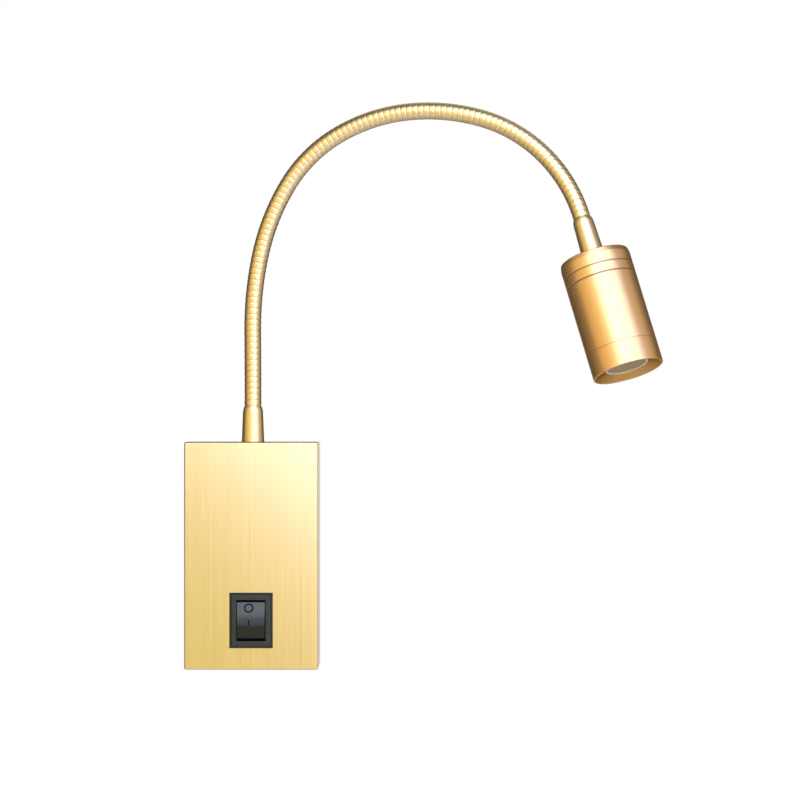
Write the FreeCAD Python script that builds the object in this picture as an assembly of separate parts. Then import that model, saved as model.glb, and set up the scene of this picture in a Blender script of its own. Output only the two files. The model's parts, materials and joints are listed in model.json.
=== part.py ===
"""Bedside wall reading lamp: a brushed brass wall box with a rocker switch, a ribbed neck and a round head.

Millimetres, +Z up, +X to the right, the wall behind the lamp at y = 0.
The origin is the centre of the wall side of the box, so the whole lamp stands in y < 0.
"""
import FreeCAD, Part
import math
import os

V = FreeCAD.Vector
UP = V(0, 0, 1)
FRONT = V(0, -1, 0)
RIGHT = V(1, 0, 0)

# ---------------------------------------------------------------- wall box cover
BOX_WIDTH = 50.0
BOX_HEIGHT = 85.0
BOX_DEPTH = 30.0
SHEET = 1.5                     # wall of the cover
BOX_EDGE = 0.4                  # flat broken off the cover's outer edges
CUTOUT_PLAY = 0.1               # each side of what goes through a hole in the cover

# ---------------------------------------------------------------- bracket on the wall
BRACKET_SHEET = 1.2
BRACKET_PLAY = 0.15             # each side, between bracket and cover
FLANGE_DEPTH = 14.0             # how far the side flanges reach forward
WALL_SLOT_DIAMETER = 4.5
WALL_SLOT_INSET = 6.85          # from each end of the bracket to the wall screw, one above the other
WALL_SLOT_TRAVEL = 3.0          # straight part of each slot, along Z
COVER_SCREW_SETBACK = 8.0       # from the wall to the two side screws
COVER_SCREW_HEIGHT = 6.0        # above the middle of the box

# ---------------------------------------------------------------- screws
M3_RADIUS = 1.45
GRUB_SCREW_LENGTH = 5.0
GRUB_SCREW_SUNK = 0.2           # below the side of the cover
SCREW_PLAY = 0.05
EARTH_ACROSS_FLATS = 5.5
EARTH_HEAD_HEIGHT = 2.0
EARTH_SCREW_SETBACK = 6.15      # from the right flange to its axis
EARTH_SCREW_RISE = 9.85         # from the bracket's lower end to its axis

# ---------------------------------------------------------------- cable entry
CABLE_BORE_RADIUS = 3.2
GROMMET_NECK_RADIUS = 4.4
GROMMET_FLANGE_RADIUS = 6.0
GROMMET_FLANGE = 1.5
GROMMET_SIDE_GAP = 0.65         # to the right flange
CABLE_RISE = 25.85              # from the bracket's lower end to the cable

# ---------------------------------------------------------------- terminal block and driver
TERMINAL_WIDTH = 9.0
TERMINAL_HEIGHT = 20.0
TERMINAL_DEPTH = 9.0
TERMINAL_SIDE_GAP = 2.15        # to the left flange
TERMINAL_RISE = 5.85            # from the bracket's lower end to the block
TERMINAL_POLES = 2
TERMINAL_WIRE_SLOT = 2.6
TERMINAL_WELL = 3.0             # side of each square screw well
TERMINAL_SCREW_DEPTH = 3.0

DRIVER_SIDE_GAP = 5.15          # to each flange, past the tips of the side screws
DRIVER_TOP_GAP = 10.85          # below the bracket's upper end, clear of the nut
DRIVER_GROMMET_GAP = 3.0        # above the grommet's flange
DRIVER_DEPTH = 20.0
DRIVER_WALL = 1.2
DRIVER_SLOT_WIDTH = 8.0         # lead slots in the top and bottom walls
DRIVER_SLOT_DEPTH = 3.0
BOARD_THICKNESS = 1.6
BOARD_PLAY = 0.3
BOARD_STANDOFF = 2.0
TRANSFORMER_SIZE = 14.0
TRANSFORMER_DEPTH = 11.0
CAPACITOR_RADIUS = 3.5
CAPACITOR_LENGTH = 10.0

# ---------------------------------------------------------------- rocker switch
SWITCH_RISE = 18.5              # middle of the switch above the bottom of the box
BEZEL_WIDTH = 16.2
BEZEL_HEIGHT = 20.7
BEZEL_THICKNESS = 1.8
BEZEL_CHAMFER = 1.0
SWITCH_BODY_WIDTH = 13.0
SWITCH_BODY_HEIGHT = 19.0
SWITCH_BODY_DEPTH = 13.0
SWITCH_FLOOR = 1.5
SWITCH_OPENING_WIDTH = 10.8
SWITCH_OPENING_HEIGHT = 15.3
SNAP_WING = 0.6                 # how far the wings stand out behind the cover
SNAP_WING_LENGTH = 6.0
SNAP_WING_HEIGHT = 5.0
SPADE_WIDTH = 4.8
SPADE_THICKNESS = 0.8
SPADE_REACH = 7.0               # behind the switch body
SPADE_INSIDE = 1.5
SPADE_SPACING = 9.0
SPADE_PLAY = 0.1

ROCKER_PLAY = 0.25              # each side, in the opening
ROCKER_TILT = 11.0              # each way from the middle position
ROCKER_PIVOT_DEPTH = 2.6        # behind the front of the bezel
ROCKER_CREST = 4.2              # from the pivot to the crest of the face
ROCKER_END_FILLET = 1.0
ROCKER_BACK = 1.4               # behind the pivot
ROCKER_LEG_WIDTH = 3.0
ROCKER_LEG = 5.0
ROCKER_PIN_RADIUS = 1.0
ROCKER_PIN_LENGTH = 0.7
ROCKER_PIN_PLAY = 0.06

# ---------------------------------------------------------------- ferrules at both ends of the neck
BASE_FERRULE_LENGTH = 13.6
HEAD_FERRULE_LENGTH = 16.0
FERRULE_FOOT_RADIUS = 4.3
FERRULE_MOUTH_RADIUS = 3.8
FERRULE_SHOULDER = 1.2
FERRULE_TIP_RADIUS = 3.3
FERRULE_BORE_RADIUS = 2.0
STUB_RADIUS = 3.0
STUB_LENGTH = 7.0
STUB_PLAY = 0.05
NUT_ACROSS_FLATS = 8.0
NUT_THICKNESS = 2.4

# ---------------------------------------------------------------- flexible neck
# The neck is eight equal arcs. Its direction at the start and at each joint is a heading in the X-Z plane,
# measured from +X towards +Z, and a lean towards the front.
NECK_LINK_LENGTH = 28.2
NECK_HEADINGS = (90, 90.3, 77.9, 59.2, 29.7, 4.7, -17, -46.3, -74.2)
NECK_LEANS = (0, 3, 7, 10, 12.5, 13.5, 14, 14.3, 14.5)
NECK_CREST_RADIUS = 3.2
NECK_GROOVE_RADIUS = 3.0
NECK_BORE_RADIUS = 1.9
RIBS_PER_LINK = 13
NECK_SIDES = 12                 # flat sides of a link's outer sections
NECK_BORE_SIDES = 6
LINK_END_PLAY = 0.33            # each side of a joint, so that two links bend 12 degrees clear of each other
BORE_STEPS = 2                  # straight stretches of a link's bore

# ---------------------------------------------------------------- lamp head, measured from its rear face
HEAD_RADIUS = 13.0
HEAD_LENGTH = 44.3
HEAD_WALL = 1.1
CAP_LENGTH = 9.2
CAP_CHAMFER = 1.9
CAP_CHAMFER_DEPTH = 0.7
CAP_GROOVE = 0.7                # between cap and body
RING_LENGTH = 8.7
RING_SEAM = 0.1
SPIGOT_LENGTH = 3.4             # of the cap, into the body
SPIGOT_LENS_GAP = 0.4           # from the body's front spigot to the lens
SPIGOT_PLAY = 0.08
RIM = 0.8                       # flat rim at the very front
FRONT_CONE_DEPTH = 3.0          # the cone that narrows from the rim to the lens
LENS_WINDOW_RADIUS = 7.4
LENS_WINDOW_EDGE = 0.6          # straight edge round the window
LENS_THICKNESS = 2.2
LENS_PLAY = 0.1
BODY_WEB_START = 16.0           # the web that carries the light source
BODY_WEB = 6.0
LEAD_HOLE_RADIUS = 2.0
STAR_ACROSS_FLATS = 18.0
STAR_THICKNESS = 1.6
EMITTER_SIZE = 3.5
EMITTER_HEIGHT = 0.8
EMITTER_DOME_RADIUS = 1.3
EMITTER_DOME_HEIGHT = 0.7
HOLDER_WALL = 1.5
HOLDER_PLAY = 0.1

# ---------------------------------------------------------------- derived places
BOX_TOP = BOX_HEIGHT / 2
BOX_FRONT_Y = -BOX_DEPTH
NECK_Y = -BOX_DEPTH / 2
PLATE_FRONT_Y = -BRACKET_SHEET
BRACKET_HALF_WIDTH = BOX_WIDTH / 2 - SHEET - BRACKET_PLAY
BRACKET_HALF_HEIGHT = BOX_TOP - SHEET - BRACKET_PLAY
FLANGE_X = BRACKET_HALF_WIDTH - BRACKET_SHEET
WALL_SLOT_Z = BRACKET_HALF_HEIGHT - WALL_SLOT_INSET
EARTH_SCREW_X = FLANGE_X - EARTH_SCREW_SETBACK
EARTH_SCREW_Z = EARTH_SCREW_RISE - BRACKET_HALF_HEIGHT
CABLE_X = FLANGE_X - GROMMET_SIDE_GAP - GROMMET_FLANGE_RADIUS
CABLE_Z = CABLE_RISE - BRACKET_HALF_HEIGHT
TERMINAL_X = TERMINAL_SIDE_GAP + TERMINAL_WIDTH / 2 - FLANGE_X
TERMINAL_Z = TERMINAL_RISE + TERMINAL_HEIGHT / 2 - BRACKET_HALF_HEIGHT
DRIVER_TOP = BRACKET_HALF_HEIGHT - DRIVER_TOP_GAP
DRIVER_LOW = CABLE_Z + GROMMET_FLANGE_RADIUS + DRIVER_GROMMET_GAP
DRIVER_WIDTH = 2 * (FLANGE_X - DRIVER_SIDE_GAP)
DRIVER_HEIGHT = DRIVER_TOP - DRIVER_LOW
DRIVER_Z = (DRIVER_TOP + DRIVER_LOW) / 2
DRIVER_FRONT_Y = PLATE_FRONT_Y - DRIVER_DEPTH
SWITCH_Z = SWITCH_RISE - BOX_TOP
SWITCH_BACK_Y = BOX_FRONT_Y + SWITCH_BODY_DEPTH
BEZEL_FRONT_Y = BOX_FRONT_Y - BEZEL_THICKNESS
ROCKER_PIVOT = V(0, BEZEL_FRONT_Y + ROCKER_PIVOT_DEPTH, SWITCH_Z)
RING_START = HEAD_LENGTH - RING_LENGTH
BODY_START = CAP_LENGTH + CAP_GROOVE
BODY_END = RING_START - RING_SEAM
POCKET_RADIUS = HEAD_RADIUS - HEAD_WALL
SPIGOT_RADIUS = POCKET_RADIUS - SPIGOT_PLAY
BODY_BORE_RADIUS = SPIGOT_RADIUS - HEAD_WALL
CONE_END = HEAD_LENGTH - FRONT_CONE_DEPTH
LENS_FRONT = CONE_END - LENS_WINDOW_EDGE
LENS_REAR = LENS_FRONT - LENS_THICKNESS
SPIGOT_END = LENS_REAR - SPIGOT_LENS_GAP
WEB_FRONT = BODY_WEB_START + BODY_WEB


# ---------------------------------------------------------------- general solids
def block(x, y, z):
    """A box between two corners, each axis given as (low, high)."""
    return Part.makeBox(x[1] - x[0], y[1] - y[0], z[1] - z[0], V(x[0], y[0], z[0]))


def turned(profile):
    """A solid of revolution about Z from (radius, height) corners."""
    corners = [V(radius, 0, height) for radius, height in profile]
    outline = Part.makePolygon(corners + corners[:1])
    return Part.Face(outline).revolve(V(0, 0, 0), UP, 360)


def hexagon(across_flats, height, base=0.0):
    """A hexagonal bar that stands on z = base."""
    corner = across_flats / math.sqrt(3)
    angles = [math.radians(60 * i) for i in range(7)]
    outline = Part.makePolygon([V(corner * math.cos(a), corner * math.sin(a), base) for a in angles])
    return Part.Face(outline).extrude(V(0, 0, height))


def along(shape, origin, direction):
    """The shape with its own Z axis laid along a direction, from an origin."""
    placed = shape.copy()
    placed.Placement = FreeCAD.Placement(origin, FreeCAD.Rotation(UP, direction)).multiply(shape.Placement)
    return placed


# ---------------------------------------------------------------- neck path
def neck_direction(joint):
    """Unit direction of the neck at a joint."""
    heading = math.radians(NECK_HEADINGS[joint])
    lean = math.radians(NECK_LEANS[joint])
    return V(math.cos(heading) * math.cos(lean), -math.sin(lean), math.sin(heading) * math.cos(lean))


def neck_station(joint, distance):
    """Point, direction and bend axis on the arc that starts at a joint, at a distance along it."""
    start = neck_direction(joint)
    finish = neck_direction(joint + 1)
    bend = start.getAngle(finish)
    axis = start.cross(finish).normalize()
    inward = axis.cross(start)
    radius = NECK_LINK_LENGTH / bend
    turn = distance / radius
    point = neck_joint(joint) + start * (radius * math.sin(turn)) + inward * (radius * (1 - math.cos(turn)))
    direction = start * math.cos(turn) + inward * math.sin(turn)
    return point, direction, axis


def neck_joint(joint):
    """Where two links meet, counted from the base ferrule."""
    if joint == 0:
        return V(0, NECK_Y, BOX_TOP + BASE_FERRULE_LENGTH)
    return neck_station(joint - 1, NECK_LINK_LENGTH)[0]


def section(joint, distance, radius, sides):
    """Corners of a regular polygon round the neck path, one pair of them in the plane of the bend."""
    point, direction, axis = neck_station(joint, distance)
    across = direction.cross(axis)
    turns = [2 * math.pi * i / sides for i in range(sides)]
    return [point + (across * math.cos(turn) + axis * math.sin(turn)) * radius for turn in turns]


def rib_side(joint, crest, distance):
    """Corners where a flank of a rib, a flat-sided cone, meets the cross plane at a distance."""
    centre, direction, _ = neck_station(joint, crest)
    point, normal, _ = neck_station(joint, distance)
    half_pitch = NECK_LINK_LENGTH / RIBS_PER_LINK / 2
    corners = []
    for corner in section(joint, crest, NECK_CREST_RADIUS, NECK_SIDES):
        inward = (centre - corner).normalize() * (NECK_CREST_RADIUS - NECK_GROOVE_RADIUS)
        flank = direction * math.copysign(half_pitch, distance - crest) + inward
        corners.append(corner + flank * ((point - corner).dot(normal) / flank.dot(normal)))
    return corners


def band(first, second):
    """Flat faces between two rings of corners."""
    faces = []
    for i in range(len(first)):
        j = (i + 1) % len(first)
        faces.append(Part.Face(Part.makePolygon([first[i], first[j], second[j], second[i], first[i]])))
    return faces


def end_face(outer, inner):
    """The flat end of a link, with the bore left open."""
    wires = [Part.makePolygon(ring + ring[:1]) for ring in (outer, inner)]
    return Part.Face(wires[0]).cut(Part.Face(wires[1])).Faces[0]


def neck_link(joint):
    """One ribbed, bored link of the neck, made of flat faces."""
    pitch = NECK_LINK_LENGTH / RIBS_PER_LINK
    near, far = LINK_END_PLAY, NECK_LINK_LENGTH - LINK_END_PLAY
    skin = [rib_side(joint, pitch / 2, near)]
    for rib in range(RIBS_PER_LINK):
        crest = (rib + 0.5) * pitch
        skin.append(section(joint, crest, NECK_CREST_RADIUS, NECK_SIDES))
        skin.append(rib_side(joint, crest, min(crest + pitch / 2, far)))
    bore = [section(joint, near + (far - near) * i / BORE_STEPS, NECK_BORE_RADIUS, NECK_BORE_SIDES)
            for i in range(BORE_STEPS + 1)]
    faces = [end_face(skin[0], bore[0]), end_face(skin[-1], bore[-1])]
    for rings in (skin, bore):
        for first, second in zip(rings, rings[1:]):
            faces += band(first, second)
    return Part.Solid(Part.Shell(faces))


HEAD_DIRECTION = neck_direction(len(NECK_HEADINGS) - 1)
NECK_END = neck_joint(len(NECK_HEADINGS) - 1)
HEAD_ORIGIN = NECK_END + HEAD_DIRECTION * HEAD_FERRULE_LENGTH


def on_head(shape):
    """A shape given from the head's rear face, laid along the head's axis."""
    return along(shape, HEAD_ORIGIN, HEAD_DIRECTION)


# ---------------------------------------------------------------- wall box
def wall_box_cover():
    """The brushed cover: five walls, open towards the wall."""
    half = BOX_WIDTH / 2
    shell = block((-half, half), (-BOX_DEPTH, 0), (-BOX_TOP, BOX_TOP))
    rear = [e for e in shell.Edges if abs(e.BoundBox.YMin) < 1e-6]
    shell = shell.makeChamfer(BOX_EDGE, [e for e in shell.Edges if not any(e.isSame(r) for r in rear)])
    inside = block((SHEET - half, half - SHEET), (SHEET - BOX_DEPTH, 1), (SHEET - BOX_TOP, BOX_TOP - SHEET))
    shell = shell.cut(inside)
    hole = Part.makeCylinder(STUB_RADIUS + STUB_PLAY, 3 * SHEET, V(0, NECK_Y, BOX_TOP - 2 * SHEET), UP)
    half_cut = SWITCH_BODY_WIDTH / 2 + CUTOUT_PLAY
    half_rise = SWITCH_BODY_HEIGHT / 2 + CUTOUT_PLAY
    cutout = block((-half_cut, half_cut), (BOX_FRONT_Y - 1, BOX_FRONT_Y + 2 * SHEET),
                   (SWITCH_Z - half_rise, SWITCH_Z + half_rise))
    return shell.cut([hole, cutout, side_screw_hole()])


def side_screw_hole():
    """A tool for the screw holes through both sides of cover and bracket."""
    start = V(-BOX_WIDTH, -COVER_SCREW_SETBACK, COVER_SCREW_HEIGHT)
    return Part.makeCylinder(M3_RADIUS + SCREW_PLAY, 2 * BOX_WIDTH, start, RIGHT)


def cover_screw(side):
    """A grub screw through the left (-1) or right (1) side of the cover into the bracket's flange."""
    outer = V(side * (BOX_WIDTH / 2 - GRUB_SCREW_SUNK), -COVER_SCREW_SETBACK, COVER_SCREW_HEIGHT)
    return Part.makeCylinder(M3_RADIUS, GRUB_SCREW_LENGTH, outer, V(-side, 0, 0))


def wall_bracket():
    """The steel bracket: a back plate with slots and a flange up each side."""
    width = (-BRACKET_HALF_WIDTH, BRACKET_HALF_WIDTH)
    height = (-BRACKET_HALF_HEIGHT, BRACKET_HALF_HEIGHT)
    channel = block(width, (-FLANGE_DEPTH, 0), height)
    between = block((-FLANGE_X, FLANGE_X), (-FLANGE_DEPTH - 1, PLATE_FRONT_Y), (-BOX_HEIGHT, BOX_HEIGHT))
    channel = channel.cut(between)
    for z in (-WALL_SLOT_Z, WALL_SLOT_Z):
        channel = channel.cut(wall_slot(z))
    channel = channel.cut(plate_hole(CABLE_X, CABLE_Z, GROMMET_NECK_RADIUS))
    channel = channel.cut(plate_hole(EARTH_SCREW_X, EARTH_SCREW_Z, M3_RADIUS + SCREW_PLAY))
    return channel.cut(side_screw_hole())


def plate_hole(x, z, radius):
    """A round tool through the bracket's back plate."""
    return Part.makeCylinder(radius, 3 * BRACKET_SHEET, V(x, BRACKET_SHEET, z), FRONT)


def wall_slot(z):
    """A tool for an upright slot for a wall screw."""
    radius = WALL_SLOT_DIAMETER / 2
    half = WALL_SLOT_TRAVEL / 2
    slot = block((-radius, radius), (-2 * BRACKET_SHEET, BRACKET_SHEET), (z - half, z + half))
    return slot.fuse([plate_hole(0, z - half, radius), plate_hole(0, z + half, radius)])


def cable_grommet():
    """The rubber grommet in the cable hole, with its flange inside the box."""
    grommet = turned([(CABLE_BORE_RADIUS, 0), (GROMMET_NECK_RADIUS, 0), (GROMMET_NECK_RADIUS, BRACKET_SHEET),
                      (GROMMET_FLANGE_RADIUS, BRACKET_SHEET),
                      (GROMMET_FLANGE_RADIUS, BRACKET_SHEET + GROMMET_FLANGE),
                      (CABLE_BORE_RADIUS, BRACKET_SHEET + GROMMET_FLANGE)])
    return along(grommet, V(CABLE_X, 0, CABLE_Z), FRONT)


def earth_screw():
    """The hexagon-headed earth screw in the back plate."""
    shank = Part.makeCylinder(M3_RADIUS, BRACKET_SHEET)
    head = hexagon(EARTH_ACROSS_FLATS, EARTH_HEAD_HEIGHT, BRACKET_SHEET)
    return along(shank.fuse(head), V(EARTH_SCREW_X, 0, EARTH_SCREW_Z), FRONT)


def terminal_block():
    """The mains terminal block, with a wire slot and a screw well for each pole."""
    front = PLATE_FRONT_Y - TERMINAL_DEPTH
    left = TERMINAL_X - TERMINAL_WIDTH / 2
    body = block((left, left + TERMINAL_WIDTH), (front, PLATE_FRONT_Y),
                 (TERMINAL_Z - TERMINAL_HEIGHT / 2, TERMINAL_Z + TERMINAL_HEIGHT / 2))
    pitch = TERMINAL_HEIGHT / TERMINAL_POLES
    half = TERMINAL_WIRE_SLOT / 2
    middle = PLATE_FRONT_Y - TERMINAL_DEPTH / 2
    for pole in range(TERMINAL_POLES):
        z = TERMINAL_Z + (pole - (TERMINAL_POLES - 1) / 2) * pitch
        body = body.cut(block((left - 1, left + TERMINAL_WIDTH + 1), (middle - half, middle + half),
                              (z - half, z + half)))
        body = body.cut(block((TERMINAL_X - TERMINAL_WELL / 2, TERMINAL_X + TERMINAL_WELL / 2),
                              (front, front + TERMINAL_SCREW_DEPTH),
                              (z - TERMINAL_WELL / 2, z + TERMINAL_WELL / 2)))
    return body


# ---------------------------------------------------------------- driver
def driver_box(inset, y):
    """A block of the driver's outline, drawn in on every side, between two depths."""
    half_width = DRIVER_WIDTH / 2 - inset
    half_height = DRIVER_HEIGHT / 2 - inset
    return block((-half_width, half_width), y, (DRIVER_Z - half_height, DRIVER_Z + half_height))


def driver_case():
    """The open tray of the driver, on the back plate, with a lead slot at each end."""
    tray = driver_box(0, (DRIVER_FRONT_Y + DRIVER_WALL, PLATE_FRONT_Y))
    tray = tray.cut(driver_box(DRIVER_WALL, (DRIVER_FRONT_Y, PLATE_FRONT_Y - DRIVER_WALL)))
    slot = block((-DRIVER_SLOT_WIDTH / 2, DRIVER_SLOT_WIDTH / 2),
                 (DRIVER_FRONT_Y, DRIVER_FRONT_Y + DRIVER_WALL + DRIVER_SLOT_DEPTH),
                 (DRIVER_Z - DRIVER_HEIGHT, DRIVER_Z + DRIVER_HEIGHT))
    return tray.cut(slot)


def driver_lid():
    """The flat lid of the driver, with a rim that drops into the tray."""
    lid = driver_box(0, (DRIVER_FRONT_Y, DRIVER_FRONT_Y + DRIVER_WALL))
    rim_y = (DRIVER_FRONT_Y + DRIVER_WALL, DRIVER_FRONT_Y + 2 * DRIVER_WALL)
    rim = driver_box(DRIVER_WALL + BOARD_PLAY, rim_y)
    return lid.fuse(rim).removeSplitter()


def driver_board():
    """The circuit board on the tray's floor, with its transformer and capacitor."""
    back = PLATE_FRONT_Y - DRIVER_WALL - BOARD_STANDOFF
    face = back - BOARD_THICKNESS
    board = driver_box(DRIVER_WALL + BOARD_PLAY, (face, back))
    low = DRIVER_Z - DRIVER_HEIGHT / 2 + 2 * DRIVER_WALL
    posts = [block((x - BOARD_STANDOFF / 2, x + BOARD_STANDOFF / 2), (back, back + BOARD_STANDOFF),
                   (low, low + DRIVER_HEIGHT - 4 * DRIVER_WALL))
             for x in (-DRIVER_WIDTH / 3, DRIVER_WIDTH / 3)]
    half = TRANSFORMER_SIZE / 2
    transformer = block((-half, half), (face - TRANSFORMER_DEPTH, face), (DRIVER_Z - half, DRIVER_Z + half))
    capacitor = Part.makeCylinder(CAPACITOR_RADIUS, CAPACITOR_LENGTH,
                                  V(TRANSFORMER_SIZE / 2 + CAPACITOR_RADIUS + BOARD_PLAY, face,
                                    DRIVER_Z - TRANSFORMER_SIZE / 2), FRONT)
    return board.fuse(posts + [transformer, capacitor]).removeSplitter()


# ---------------------------------------------------------------- switch
def switch_block(width, height, y):
    """A block centred on the switch, between two depths."""
    return block((-width / 2, width / 2), y, (SWITCH_Z - height / 2, SWITCH_Z + height / 2))


def switch_housing():
    """The moulded housing: bezel, body through the cover, snap wings, bearings and spade slots."""
    bezel = switch_block(BEZEL_WIDTH, BEZEL_HEIGHT, (BEZEL_FRONT_Y, BOX_FRONT_Y))
    front = [e for e in bezel.Edges if abs(e.BoundBox.YMax - BEZEL_FRONT_Y) < 1e-5]
    bezel = bezel.makeChamfer(BEZEL_CHAMFER, front)
    body = switch_block(SWITCH_BODY_WIDTH, SWITCH_BODY_HEIGHT, (BOX_FRONT_Y, SWITCH_BACK_Y))
    housing = bezel.fuse([body] + [snap_wing(side) for side in (-1, 1)]).removeSplitter()
    housing = housing.cut(switch_block(SWITCH_OPENING_WIDTH, SWITCH_OPENING_HEIGHT,
                                       (BEZEL_FRONT_Y - 1, SWITCH_BACK_Y - SWITCH_FLOOR)))
    bearing_reach = SWITCH_OPENING_WIDTH / 2 - ROCKER_PLAY + ROCKER_PIN_LENGTH + ROCKER_PIN_PLAY
    bearing = Part.makeCylinder(ROCKER_PIN_RADIUS + ROCKER_PIN_PLAY, 2 * bearing_reach,
                                ROCKER_PIVOT - RIGHT * bearing_reach, RIGHT)
    housing = housing.cut(bearing)
    for spade in spades(SPADE_PLAY):
        housing = housing.cut(spade)
    return housing


def snap_wing(side):
    """A wedge on the side of the body that holds it behind the cover."""
    root = side * SWITCH_BODY_WIDTH / 2
    tip = root + side * SNAP_WING
    front = BOX_FRONT_Y + SHEET + CUTOUT_PLAY
    low = SWITCH_Z - SNAP_WING_HEIGHT / 2
    corners = [V(root, front, low), V(tip, front, low), V(root, front + SNAP_WING_LENGTH, low)]
    return Part.Face(Part.makePolygon(corners + corners[:1])).extrude(V(0, 0, SNAP_WING_HEIGHT))


def spades(play=0.0):
    """The two spade terminals through the floor of the switch."""
    half_width = SPADE_WIDTH / 2 + play
    half_thickness = SPADE_THICKNESS / 2 + play
    front = SWITCH_BACK_Y - SWITCH_FLOOR - SPADE_INSIDE
    levels = (SWITCH_Z - SPADE_SPACING / 2, SWITCH_Z + SPADE_SPACING / 2)
    return [block((-half_width, half_width), (front, SWITCH_BACK_Y + SPADE_REACH),
                  (z - half_thickness, z + half_thickness)) for z in levels]


def switch_rocker():
    """The rocker with its pivot pins, at rest with its upper end pressed in."""
    reach = SWITCH_OPENING_HEIGHT / 2 - ROCKER_PLAY
    slope = math.tan(math.radians(ROCKER_TILT))
    # where the sloping face meets the round end: (crest - slope z)^2 + z^2 = reach^2
    a = 1 + slope ** 2
    b = -2 * slope * ROCKER_CREST
    c = ROCKER_CREST ** 2 - reach ** 2
    end_z = (-b + math.sqrt(b ** 2 - 4 * a * c)) / (2 * a)
    end_y = -(ROCKER_CREST - slope * end_z)
    back_z = math.sqrt(reach ** 2 - ROCKER_BACK ** 2)
    width = SWITCH_OPENING_WIDTH - 2 * ROCKER_PLAY
    edges = [
        Part.makeLine(V(0, end_y, -end_z), V(0, -ROCKER_CREST, 0)),
        Part.makeLine(V(0, -ROCKER_CREST, 0), V(0, end_y, end_z)),
        Part.Arc(V(0, end_y, end_z), V(0, 0, reach), V(0, ROCKER_BACK, back_z)).toShape(),
        Part.makeLine(V(0, ROCKER_BACK, back_z), V(0, ROCKER_BACK, -back_z)),
        Part.Arc(V(0, ROCKER_BACK, -back_z), V(0, 0, -reach), V(0, end_y, -end_z)).toShape(),
    ]
    body = Part.Face(Part.Wire(edges)).extrude(V(width, 0, 0))
    body.translate(V(-width / 2, 0, 0))
    long_edges = [e for e in body.Edges if e.BoundBox.XLength > width / 2]
    tips = [e for e in long_edges if max(abs(e.BoundBox.YMin - end_y), abs(e.BoundBox.YMax - end_y)) < 1e-5]
    body = body.makeFillet(ROCKER_END_FILLET, tips)
    leg = block((-ROCKER_LEG_WIDTH / 2, ROCKER_LEG_WIDTH / 2), (0, ROCKER_LEG),
                (-ROCKER_LEG_WIDTH / 2, ROCKER_LEG_WIDTH / 2))
    pin_reach = width / 2 + ROCKER_PIN_LENGTH
    pins = Part.makeCylinder(ROCKER_PIN_RADIUS, 2 * pin_reach, V(-pin_reach, 0, 0), RIGHT)
    rocker = body.fuse([leg, pins])
    rocker.rotate(V(0, 0, 0), RIGHT, -ROCKER_TILT)
    rocker.translate(ROCKER_PIVOT)
    return rocker


# ---------------------------------------------------------------- neck fittings
def ferrule(length):
    """A tapered ferrule that stands on z = 0, with its threaded stub below."""
    tip = length - LINK_END_PLAY
    return turned([(FERRULE_BORE_RADIUS, -STUB_LENGTH), (STUB_RADIUS, -STUB_LENGTH), (STUB_RADIUS, 0),
                   (FERRULE_FOOT_RADIUS, 0), (FERRULE_MOUTH_RADIUS, tip - FERRULE_SHOULDER),
                   (FERRULE_TIP_RADIUS, tip), (FERRULE_BORE_RADIUS, tip)])


def nut():
    """A hexagon nut whose top is at z = 0."""
    hole = Part.makeCylinder(STUB_RADIUS + STUB_PLAY, 3 * NUT_THICKNESS, V(0, 0, -2 * NUT_THICKNESS))
    return hexagon(NUT_ACROSS_FLATS, NUT_THICKNESS, -NUT_THICKNESS).cut(hole)


BASE_ORIGIN = V(0, NECK_Y, BOX_TOP)


# ---------------------------------------------------------------- head
def head_cap():
    """The rear cap: chamfered at the back, screwed on the ferrule's stub, with a spigot into the body."""
    end = BODY_START + SPIGOT_LENGTH
    hole = STUB_RADIUS + STUB_PLAY
    return on_head(turned([
        (hole, 0), (HEAD_RADIUS - CAP_CHAMFER_DEPTH, 0), (HEAD_RADIUS, CAP_CHAMFER),
        (HEAD_RADIUS, CAP_LENGTH), (SPIGOT_RADIUS, CAP_LENGTH), (SPIGOT_RADIUS, end), (hole, end)]))


def head_body():
    """The middle tube with a spigot at the front and the web that carries and cools the light source."""
    return on_head(turned([
        (LEAD_HOLE_RADIUS, BODY_WEB_START), (POCKET_RADIUS, BODY_WEB_START), (POCKET_RADIUS, BODY_START),
        (HEAD_RADIUS, BODY_START), (HEAD_RADIUS, BODY_END), (SPIGOT_RADIUS, BODY_END),
        (SPIGOT_RADIUS, SPIGOT_END), (BODY_BORE_RADIUS, SPIGOT_END), (BODY_BORE_RADIUS, WEB_FRONT), (LEAD_HOLE_RADIUS, WEB_FRONT)]))


def front_ring():
    """The front ring: it goes over the body's spigot, and its inner cone ends in the lens window."""
    return on_head(turned([
        (POCKET_RADIUS, RING_START), (HEAD_RADIUS, RING_START), (HEAD_RADIUS, HEAD_LENGTH),
        (HEAD_RADIUS - RIM, HEAD_LENGTH), (LENS_WINDOW_RADIUS, CONE_END), (LENS_WINDOW_RADIUS, LENS_FRONT),
        (POCKET_RADIUS, LENS_FRONT)]))


def lens():
    """The front lens behind the window."""
    radius = POCKET_RADIUS - LENS_PLAY
    return on_head(turned([(0, LENS_REAR), (radius, LENS_REAR), (radius, LENS_FRONT), (0, LENS_FRONT)]))


def lens_holder():
    """The tube that stands on the star board, presses it on the web and carries the lens."""
    outer = BODY_BORE_RADIUS - HOLDER_PLAY
    inner = outer - HOLDER_WALL
    rear = WEB_FRONT + STAR_THICKNESS
    return on_head(turned([(inner, rear), (outer, rear), (outer, LENS_REAR), (inner, LENS_REAR)]))


def star_board():
    """The hexagonal metal board of the light source, on the web."""
    return on_head(hexagon(STAR_ACROSS_FLATS, STAR_THICKNESS, WEB_FRONT))


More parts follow.
